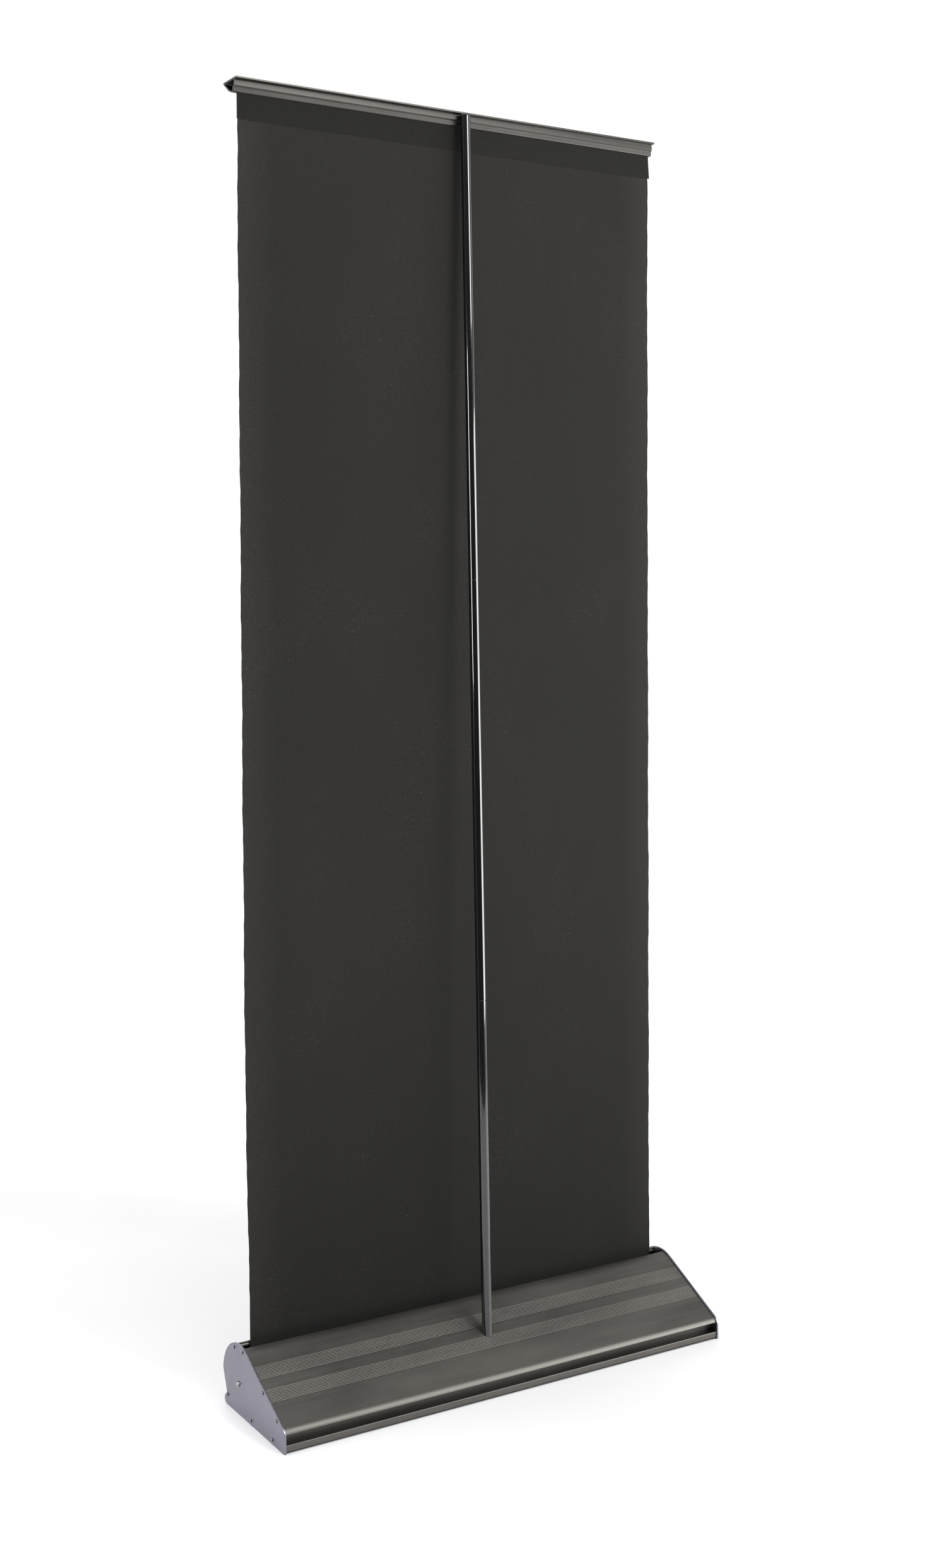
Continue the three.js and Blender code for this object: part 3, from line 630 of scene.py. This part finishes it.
portPlaces = {
    "slot_front": polar(drum, baseSet["drumRadius"] - baseSet["portInset"], 110.5),
    "toe": np.array([baseSet["toeSetback"] - rearFace + 3.2, baseSet["toeRadius"] + 8.2]),
    "floor_front": np.array([-8.0, baseSet["portInset"]]),
    "floor_rear": np.array([70.0, baseSet["portInset"]]),
    "slot_rear": polar(drum, baseSet["drumRadius"] - baseSet["portInset"], 77),
    "slope_upper": onSlope(baseSet, 70.0, baseSet["portInset"]),
    "slope_lower": onSlope(baseSet, 125.0, baseSet["portInset"]),
}
bodyPorts = [portPlaces[k] for k in ("slot_front", "toe", "floor_front", "floor_rear")]
coverPorts = [portPlaces[k] for k in ("slot_rear", "slope_upper", "slope_lower")]


poleSet = {
    # millimetres; the joints are heights above the floor
    "foot": (6.9, 32.1, 87.0), "tip": (-12.9, -52.1, 2102.0),
    "radius": 8.5, "wall": 1.0, "joints": (625.0, 1323.0),
    "ferruleLength": 76.0, "ferruleWall": 1.6, "plugDepth": 18.0, "cap": 3.0,
    "start": 11.1, "cordRadius": 1.6, "chamfer": 0.25,
}
poleFoot = np.array(poleSet["foot"])
poleAxis = np.array(poleSet["tip"]) - poleFoot
poleAxis = poleAxis / np.linalg.norm(poleAxis)
poleZero = poleFoot - poleAxis * poleFoot[2] / poleAxis[2]  # where the axis meets the floor


def tubeProfile(radius, bore, start, end, chamfer):
    # a tube's wall as (radius, distance) points, with its two outer edges chamfered
    return [
        (bore, start), (radius - chamfer, start), (radius, start + chamfer),
        (radius, end - chamfer), (radius - chamfer, end), (bore, end),
    ]


def makeShell(use):
    body = alongX("floorExtrusion", bodyOutline(use), (-extrusionEnd, extrusionEnd))
    reshaped(body, [rods("ports", bodyPorts, use["portRadius"], -extrusionEnd, extrusionEnd)], "UNION")
    reshaped(body, [rods("bores", bodyPorts, use["bore"], -extrusionEnd - 1, extrusionEnd + 1)], "DIFFERENCE")
    finished(body, "base", shellMetal, ["body_extrusion"])
    cover = alongX("ribbedCover", coverOutline(use), (-extrusionEnd, extrusionEnd))
    reshaped(cover, [rods("ports", coverPorts, use["portRadius"], -extrusionEnd, extrusionEnd)], "UNION")
    radius, low, high = use["poleHole"], *use["poleHoleReach"]
    hole = turned("hole", [(0, low), (radius, low), (radius, high), (0, high)], poleZero, poleAxis, 64)
    bores = rods("bores", coverPorts, use["bore"], -extrusionEnd - 1, extrusionEnd + 1)
    reshaped(cover, [bores, hole], "DIFFERENCE")
    finished(cover, "base", shellMetal, ["rear_cover"], 30)


def makePlates(use):
    # The outline shrinks by r(1 - cos a) while X moves r sin a, which rounds each edge of the plate.
    turn = np.radians(np.linspace(0, 90, 5))
    shrink = use["edgeRound"] * (1 - np.cos(turn))
    shift = use["edgeRound"] * np.sin(turn)
    inner = use["plateOuter"] - use["plateThickness"] + use["edgeRound"]
    outer = use["plateOuter"] - use["edgeRound"]
    insets = np.concatenate([shrink[::-1], shrink])
    stations = np.concatenate([inner - shift[::-1], outer + shift])
    for side, sign in (("left", 1), ("right", -1)):
        outlines = [plateOutline(use, inset) for inset in insets]
        plate = alongX(f"{side}EndPlate", outlines, sign * stations)
        past = use["plateOuter"] + 80  # the cutters run well past both plates
        bores = rods("bores", list(portPlaces.values()), use["bore"], -past, past)
        axleHole = rods("axleHole", [drum], use["axleHole"], -past, past, 48)
        reshaped(plate, [bores, axleHole], "DIFFERENCE")
        finished(plate, "base", plateMetal, [f"end_plate_{side}"])


screwSet = {"radius": 1.45, "length": 13.0, "head": 2.9, "rise": 1.7, "cross": 0.42, "arm": 1.55, "deep": 1.0}


def makeScrews(use):
    def crossRecess(x, y, distance):
        # depth is deep x (1 - |short side| / half width), fading out along each arm, only in the dome
        short, long = np.minimum(abs(x), abs(y)), np.maximum(abs(x), abs(y))
        bite = np.clip((use["cross"] - short) / 0.12, 0, 1) * np.clip((use["arm"] - long) / 0.5, 0, 1)
        return use["deep"] * bite * (distance > use["rise"] * 0.5)

    radii = np.linspace(use["head"] * 0.94, 0, 17)
    dome = use["rise"] * (0.62 + 0.38 * np.sqrt(1 - (radii / use["head"]) ** 2))
    profile = np.vstack([
        [(0, -use["length"]), (use["radius"] * 0.6, -use["length"]), (use["radius"], -use["length"] + 1),
         (use["radius"], -0.1), (use["radius"] + 0.1, 0), (use["head"] - 0.15, 0), (use["head"], 0.15),
         (use["head"], use["rise"] * 0.55)],
        np.column_stack([radii, dome]),
    ])
    for side, sign in (("left", 1), ("right", -1)):
        for place, at in portPlaces.items():
            seat = (sign * (baseSet["plateOuter"] + gap), *at)
            screw = turned(f"{side}Screw_{place}", profile, seat, (sign, 0, 0), 48, mask=crossRecess)
            finished(screw, "base", zincSteel, [f"screw_{side}_{place}"], 35)


makeShell(baseSet)
makePlates(baseSet)
makeScrews(screwSet)
print("base shell made")


rollerSet = {
    "tube": 13.0, "wall": 1.2, "end": 405.5, "leader": 0.7, "plug": 16.0, "flange": 2.0,
    "axle": 2.5, "reach": 421.5, "springAxle": 172.0, "idleAxle": 36.0,
    "spring": 8.2, "wire": 0.8, "turns": 22, "springLength": 122.0,
    "collar": 10.0, "collarLength": 8.0, "bannerWidth": 800.0, "bannerMiddle": -3.0,
}


def makeRoller(use):
    centre = (0, *drum)
    alongBase = (1, 0, 0)
    profile = tubeProfile(use["tube"], use["tube"] - use["wall"], -use["end"], use["end"], 0.2)
    tube = turned("rollerTube", profile, centre, alongBase, 96, closed=True)
    finished(tube, "roller", shellMetal, ["roller_tube"])
    half = use["bannerWidth"] / 2
    wound = tubeProfile(use["tube"] + use["leader"], use["tube"] + 0.15,
                        use["bannerMiddle"] - half, use["bannerMiddle"] + half, 0.1)
    leader = turned("leaderWrap", wound, centre, alongBase, 96, closed=True)
    finished(leader, "roller", film, ["leader_wrap"])
    start, fit, bore = use["end"], use["tube"] - use["wall"] - gap, use["axle"] + gap
    plug = [(bore, start - use["plug"]), (fit - 0.4, start - use["plug"]), (fit, start - use["plug"] + 0.4),
            (fit, start + gap), (use["tube"], start + gap), (use["tube"], start + 1.9),
            (use["tube"] - 0.4, start + gap + use["flange"]), (bore, start + gap + use["flange"])]
    for side, sign in (("left", 1), ("right", -1)):
        made = turned(f"{side}RollerPlug", plug, centre, (sign, 0, 0), 64, closed=True)
        finished(made, "roller", plastic, [f"roller_plug_{side}"])
    for name, node, sign, length in (("springAxle", "spring_axle", 1, use["springAxle"]),
                                     ("idleAxle", "idle_axle", -1, use["idleAxle"])):
        radius, end = use["axle"], use["reach"]
        profile = [(0, end - length), (radius - 0.4, end - length), (radius, end - length + 0.4),
                   (radius, end - 0.7), (radius - 0.2, end - 0.25), (radius - 0.6, end), (0, end)]
        axle = turned(name, profile, centre, (sign, 0, 0), 64)
        finished(axle, "base", steel, [node], 30)
    springStart = use["end"] - use["plug"] - 2 * use["wire"] - gap
    # helix: a centre line at the spring's radius, stepping back along X as it turns, and the wire round it
    t = np.linspace(0, 1, use["turns"] * 28 + 1)
    around = 2 * math.pi * use["turns"] * t
    outward = np.column_stack([np.zeros_like(t), np.cos(around), np.sin(around)])
    line = outward * use["spring"] + np.array(centre)
    line[:, 0] = springStart - use["springLength"] * t
    ring = np.linspace(0, 2 * math.pi, 12, endpoint=False)
    grid = (line[:, None] + use["wire"] * (np.cos(ring)[None, :, None] * outward[:, None]
                                           + np.sin(ring)[None, :, None] * np.array([1.0, 0, 0])))
    spring = gridPiece("returnSpring", grid * mm, closedColumns=True, capped=True)
    finished(spring, "base", steel, ["return_spring"], 40)
    collarEnd = springStart - use["springLength"] - 2 * use["wire"] - gap
    profile = tubeProfile(use["collar"], use["axle"] + gap, collarEnd - use["collarLength"], collarEnd, 0.4)
    collar = turned("springCollar", profile, centre, alongBase, 64, closed=True)
    finished(collar, "base", plastic, ["spring_collar"])


makeRoller(rollerSet)
print("roller made")


def frameBody(node):
    return frame["nodes"][node]["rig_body"]


socketSet = {
    "half": 15.0, "corner": 5.0, "bottom": 4.1, "top": 27.0, "edge": 0.8, "bore": 8.8, "boreFloor": 6.0,
}


def makeSocket(use):
    # A rounded square carried up Z, its top edge shrinking as r(1 - cos a) while it rises r sin a.
    half, corner, bottom, top, edge = (use[k] for k in ("half", "corner", "bottom", "top", "edge"))
    middle = poleZero + poleAxis * ((bottom + top) / 2 / poleAxis[2])
    turn = np.radians(np.linspace(0, 90, 5))
    insets = np.concatenate([[0.0], edge * (1 - np.cos(turn))])
    heights = np.concatenate([[bottom], top - edge + edge * np.sin(turn)])
    rings = []
    for inset, height in zip(insets, heights):
        reach = half - corner
        square = np.vstack([arc((sx * reach, sy * reach), corner - inset, start, start + 90, 9)
                            for sx, sy, start in ((1, 1, 0), (-1, 1, 90), (-1, -1, 180), (1, -1, 270))])
        rings.append(np.column_stack([square + middle[:2], np.full(len(square), height)]))
    socket = gridPiece("poleSocket", np.stack(rings) * mm, closedColumns=True, capped=True)
    radius, low, high = use["bore"], bottom + use["boreFloor"], 2 * top
    bore = turned("bore", [(0, low), (radius, low), (radius, high), (0, high)], poleZero, poleAxis, 64)
    reshaped(socket, [bore], "DIFFERENCE")
    finished(socket, "base", plastic, ["pole_socket"])


def makePole(use):
    # distances run along the leaning axis from the floor: a height divided by the axis's rise
    rise = poleAxis[2]
    radius, bore = use["radius"], use["radius"] - use["wall"]
    fit = bore - gap
    start = use["start"] / rise
    end = use["tip"][2] / rise - radius * math.tan(math.acos(rise))
    low, high = (height / rise for height in use["joints"])
    cap, half = use["cap"], gap / 2
    sections = {
        "lower": (start + cap + gap, low - half),
        "middle": (low + half, high - half),
        "top": (high + half, end - cap - gap),
    }
    for name, (a, b) in sections.items():
        tube = turned(f"{name}PoleTube", tubeProfile(radius, bore, a, b, use["chamfer"]), poleZero, poleAxis,
                      96, closed=True)
        finished(tube, f"pole_{name}_section", poleCoat, [f"pole_{name}"])
    for name, at in (("lower", low), ("upper", high)):
        reach = use["ferruleLength"] / 2
        profile = tubeProfile(fit, fit - use["ferruleWall"], at - reach, at + reach, 0.6)
        ferrule = turned(f"{name}Ferrule", profile, poleZero, poleAxis, 96, closed=True)
        finished(ferrule, frameBody(f"pole_ferrule_{name}"), steel, [f"pole_ferrule_{name}"])
    foot = [(0, start), (radius - 0.5, start), (radius, start + 0.5), (radius, start + cap),
            (fit, start + cap), (fit, start + cap + use["plugDepth"] - 1),
            (fit - 1, start + cap + use["plugDepth"]), (0, start + cap + use["plugDepth"])]
    plug = turned("poleFootPlug", foot, poleZero, poleAxis, 96)
    finished(plug, frameBody("pole_foot_plug"), plastic, ["pole_foot_plug"])
    edge = np.radians(np.linspace(0, 90, 6))
    tip = np.vstack([
        [(0, end - cap - use["plugDepth"]), (fit - 1, end - cap - use["plugDepth"]),
         (fit, end - cap - use["plugDepth"] + 1), (fit, end - cap), (radius, end - cap)],
        np.column_stack([radius - 1 + np.cos(edge), end - 1 + np.sin(edge)]),
        [(0, end)],
    ])
    plug = turned("poleTipPlug", tip, poleZero, poleAxis, 96)
    finished(plug, frameBody("pole_tip_plug"), plastic, ["pole_tip_plug"], 24)
    stations = [start + cap + use["plugDepth"] + gap, low, high, end - cap - use["plugDepth"] - gap]
    for index, name in enumerate(("lower", "middle", "top")):
        a, b = stations[index] + half, stations[index + 1] - half
        profile = [(0, a), (use["cordRadius"] - 0.2, a), (use["cordRadius"], a + 0.3),
                   (use["cordRadius"], b - 0.3), (use["cordRadius"] - 0.2, b), (0, b)]
        cord = turned(f"{name}ShockCord", profile, poleZero, poleAxis, 24)
        finished(cord, frameBody(f"shock_cord_{name}"), elastic, [f"shock_cord_{name}"], 40)


makeSocket(socketSet)
makePole(poleSet)
print("pole made")


railSet = {
    "low": -408.5, "high": 402.5, "top": 2106.0, "front": -104.4, "flangeRear": -53.4, "flange": 3.0,
    "rearWall": -60.9, "wall": 1.8, "wallFoot": 2093.5, "step": 2.1, "bottom": 2083.5, "lip": -64.8,
    "jaw": -66.7, "clampJaw": 8.5, "nose": 2.5, "lipLean": 0.5,
}


def makeRail(use):
    # flange, stepped rear wall and lip in one profile, and the clamp profile that closes on the cloth's front
    under = use["top"] - use["flange"]
    wall, foot, lip, bottom = use["wall"], use["wallFoot"], use["lip"], use["bottom"]
    body = chamfered([
        (use["flangeRear"], use["top"]), (use["front"] + use["nose"], use["top"]),
        (use["front"], use["top"] - use["nose"] / 2), (use["front"] + use["nose"], under),
        (use["rearWall"] - wall, under), (use["rearWall"] - wall, foot + wall),
        (lip, foot + wall - use["step"]), (lip, bottom + 1), (lip + wall / 2 - use["lipLean"] / 2, bottom),
        (lip + wall - use["lipLean"], bottom + 1), (lip + wall, foot - use["step"]),
        (use["rearWall"], foot), (use["rearWall"], under), (use["flangeRear"], under),
    ], 0.45)
    rail = alongX("topRail", body, (use["low"], use["high"]))
    finished(rail, frameBody("rail_body"), railMetal, ["rail_body"])
    jaw, front, top = use["jaw"], use["front"], under - gap
    toe = jaw - 2 * wall
    clamp = chamfered([
        (front + use["nose"], top), (toe - 12, bottom + 4.5), (toe, bottom), (jaw, bottom),
        (jaw, bottom + use["clampJaw"]), (jaw - wall, bottom + use["clampJaw"]), (jaw - wall, bottom + wall),
        (toe - 10, bottom + 4.5 + wall), (front + use["nose"] + 2 * wall, top),
    ], 0.4)
    clamp = alongX("railClamp", clamp, (use["low"], use["high"]))
    finished(clamp, frameBody("rail_clamp"), railMetal, ["rail_clamp"])
    return rail


topRail = makeRail(railSet)
print("rail made")


bannerSet = {
    "low": -403.0, "high": 397.0, "front": -66.0, "rear": -65.5, "bottom": 8.0, "top": 2094.0,
    "slot": 118.0, "gripped": 2040.0, "columns": 90, "rows": 330,
    "ripple": 0.6, "rippleFades": (160.0, 120.0), "edgeWave": 0.9, "pullIn": 5.5, "pullHeight": 480.0,
    # each wave's share of the ripple, its lengths across and up the cloth over two pi, and its phase
    "waves": ((0.5, 61.0, 410.0, 0.6), (0.3, 27.0, -173.0, 2.1), (0.2, 11.5, 67.0, 0.0)),
}
hemSet = {
    "foot": 2043.5, "front": -65.4, "rear": -65.0, "width": 50.0, "rows": 26, "columns": 260,
    "stray": 2.2, "strayWidth": 60.0, "strayTop": 2078.0, "strayHeight": 34.0,
}


def ripple(use, x, z):
    # Slow waves across the cloth, the sum of three sines of x and z less its own peak, so that they only
    # bulge away from the pole, faded to nothing at the slot and the rail.
    wave = sum(share * np.sin(x / wide + z / tall + phase) for share, wide, tall, phase in use["waves"])
    low, high = use["rippleFades"]
    fade = np.clip((z - use["slot"]) / low, 0, 1) * np.clip((use["gripped"] - z) / high, 0, 1)
    return use["ripple"] * (wave - 1) * fade * fade * (3 - 2 * fade)


def edgeWander(use, z, phase):
    # uneven selvedge: four sines of the height with unrelated wavelengths
    return use["edgeWave"] * (0.45 * np.sin(z / 47 + phase) + 0.3 * np.sin(z / 17.3 + 2 * phase)
                              + 0.3 * np.sin(z / 7.1 + 3 * phase) + 0.15 * np.sin(z / 3.7 + phase))


def makeBanner(use):
    # A closed loop round the cloth's two faces, carried up Z; each row narrows and wavers at its two edges.
    z = np.linspace(use["bottom"], use["top"], use["rows"])
    share = np.linspace(0, 1, use["columns"])
    loop = np.concatenate([share, share[::-1]])
    face = np.concatenate([np.full(use["columns"], use["rear"]), np.full(use["columns"], use["front"])])
    free = np.clip((z - use["slot"]) / 60, 0, 1) * np.clip((use["top"] - 8 - z) / 30, 0, 1)
    drawn = use["pullIn"] * np.clip(1 - (z - use["slot"]) / use["pullHeight"], 0, 1) ** 1.5
    lowEdge = use["low"] + (edgeWander(use, z, 0.7) + use["edgeWave"]) * free
    highEdge = use["high"] - drawn - (edgeWander(use, z, 2.9) + use["edgeWave"]) * free
    x = lowEdge[:, None] + (highEdge - lowEdge)[:, None] * loop[None]
    height = np.repeat(z[:, None], len(loop), 1)
    y = face[None] + ripple(use, x, height)
    across = np.concatenate([share, share[::-1], share[:1]]) * (use["high"] - use["low"]) * mm
    along = np.append(z, z[-1]) * mm
    banner = gridPiece("bannerCloth", np.stack([x, y, height], -1) * mm, closedColumns=True, capped=True,
                       across=across, along=along)
    return finished(banner, "banner", cloth, ["banner_fabric"], 50)


def makeHem(use, tape):
    # The same loop for the folded strip sewn to the back, its foot wavering and its far corner straying.
    share = np.linspace(0, 1, tape["rows"])
    loop = np.concatenate([share, share[::-1]])
    face = np.concatenate([np.full(tape["rows"], tape["rear"]), np.full(tape["rows"], tape["front"])])
    x = np.linspace(use["low"], use["high"], tape["columns"])
    foot = tape["foot"] + 0.35 * np.sin(x / 23) + 0.25 * np.sin(x / 7.7 + 1)
    z = foot[:, None] + (use["top"] - foot)[:, None] * loop[None]
    spread = np.repeat(x[:, None], len(loop), 1)
    corner = (np.clip((use["low"] + tape["strayWidth"] - spread) / tape["strayWidth"], 0, 1) ** 2
              * np.clip((tape["strayTop"] - z) / tape["strayHeight"], 0, 1))
    spread = spread - tape["stray"] * corner
    y = face[None] + ripple(use, spread, z) + 0.25 * corner
    grid = np.stack([spread, y, z], -1) * mm
    across = np.concatenate([share, share[::-1], share[:1]]) * tape["width"] * mm
    along = np.append(x, x[-1]) * mm
    hem = gridPiece("bannerHem", grid, closedColumns=True, capped=True, across=across, along=along)
    return finished(hem, "banner", hemTape, ["hem_strip"], 50)


banner = makeBanner(bannerSet)
hem = makeHem(bannerSet, hemSet)
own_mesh(banner)
print("banner made")


studioSet = {
    "floor": "#f2f2f3", "floorLow": "#efeff0", "floorRadius": 2.4,
    "backdrop": 1.05, "behind": 1.12, "ahead": 0.08, "overhead": 0.75,
    "turn": (-0.2, 0.7), "flag": (-0.6, -0.1, 0.79), "flagShare": 0.3, "flagEdges": (0.72, 0.95),
    "lights": {
        # place, target, width, height, power, and whether it lights all or only shows in gloss
        "keyPanel": ((-1.12, 2.78, 3.4), (0, 0, 1.2), 1.5, 2.0, 95, "all"),
        "rightPanel": ((-2.43, 1.76, 1.1), (0, 0, 1.1), 2.2, 2.0, 110, "gloss"),
        "leftPanel": ((2.96, 0.47, 1.75), (0, 0, 1.5), 0.7, 1.1, 26, "all"),
        "topPanel": ((1.0, 0.6, 5.0), (0, 0, 0), 5.0, 4.0, 80, "all"),
    },
}


def makeStudio(use):
    # a flat disc: point (i, k) lies at radius i and angle k, and beyond it only the white backdrop is seen
    radius = np.linspace(0, use["floorRadius"], 13)[:, None]
    angle = np.linspace(0, 2 * math.pi, 96, endpoint=False)[None]
    disc = np.stack([radius * np.cos(angle), radius * np.sin(angle), 0 * radius * angle], -1)
    floor = gridPiece("floor", disc, closedColumns=True)
    if floor.data.polygons[0].normal.z < 0:
        floor.data.flip_normals()
    material, add = newMaterial("paintedFloor")
    clouds = add("TexNoise", {"Vector": add("TexCoord", out="Object"), "Scale": 3.0, "Detail": 3.0})
    add("OutputMaterial", {"Surface": add("BsdfPrincipled", {
        "Roughness": 0.55, "IOR": 1.45,
        "Base Color": add("ValToRGB", (clouds,), ramp=((0.3, use["floorLow"]), (0.7, use["floor"]))),
    })})
    floor.data.materials.append(material)

    # The world's brightness follows the direction: bright beyond the stand and dim on the camera's side, with
    # a turn between the two, plus the overhead share times the square of the direction's height. A black flag
    # hung above the right-hand end dims a round patch of it. The backdrop itself is seen as plain white.
    world = bpy.data.worlds.new("studio")
    bpy.context.scene.world = world
    world.use_nodes = True
    world.node_tree.nodes.clear()
    add = partial(addNode, world.node_tree)
    direction = add("TexCoord", out="Generated")
    facing = add("VectorMath", (direction, tuple(cameraBack)), "Value", operation="DOT_PRODUCT")
    sides = add("MapRange", (facing, *use["turn"], use["behind"], use["ahead"]))
    height = add("MapRange", (add("SeparateXYZ", {"Vector": direction}, "Z"), 0.0, 1.0, 0.0, 1.0))
    above = add("Math", (height, 2.0), operation="POWER")
    strength = add("Math", (above, use["overhead"], sides), operation="MULTIPLY_ADD")
    flagged = add("VectorMath", (direction, use["flag"]), "Value", operation="DOT_PRODUCT")
    dimmed = add("MapRange", (flagged, *use["flagEdges"], 1.0, use["flagShare"]))
    strength = add("Math", (strength, dimmed), operation="MULTIPLY")
    seen = add("LightPath", out="Is Camera Ray")
    strength = add("Mix", {0: seen, 2: strength, 3: use["backdrop"]})
    add("OutputWorld", {"Surface": add("Background", {"Color": toLinear("#ffffff"), "Strength": strength})})

    for name, (place, target, width, height, power, lights) in use["lights"].items():
        data = bpy.data.lights.new(name, "AREA")
        data.shape = "RECTANGLE"
        data.size, data.size_y, data.energy = width, height, power
        lamp = bpy.data.objects.new(name, data)
        lamp.visible_diffuse = lights == "all"
        aim = (Vector(target) - Vector(place)).to_track_quat("-Z", "Y")
        lamp.matrix_world = Matrix.Translation(Vector(place)) @ aim.to_matrix().to_4x4()
        bpy.context.collection.objects.link(lamp)
    bpy.context.scene.view_settings.view_transform = "Standard"


makeStudio(studioSet)
print("studio made")
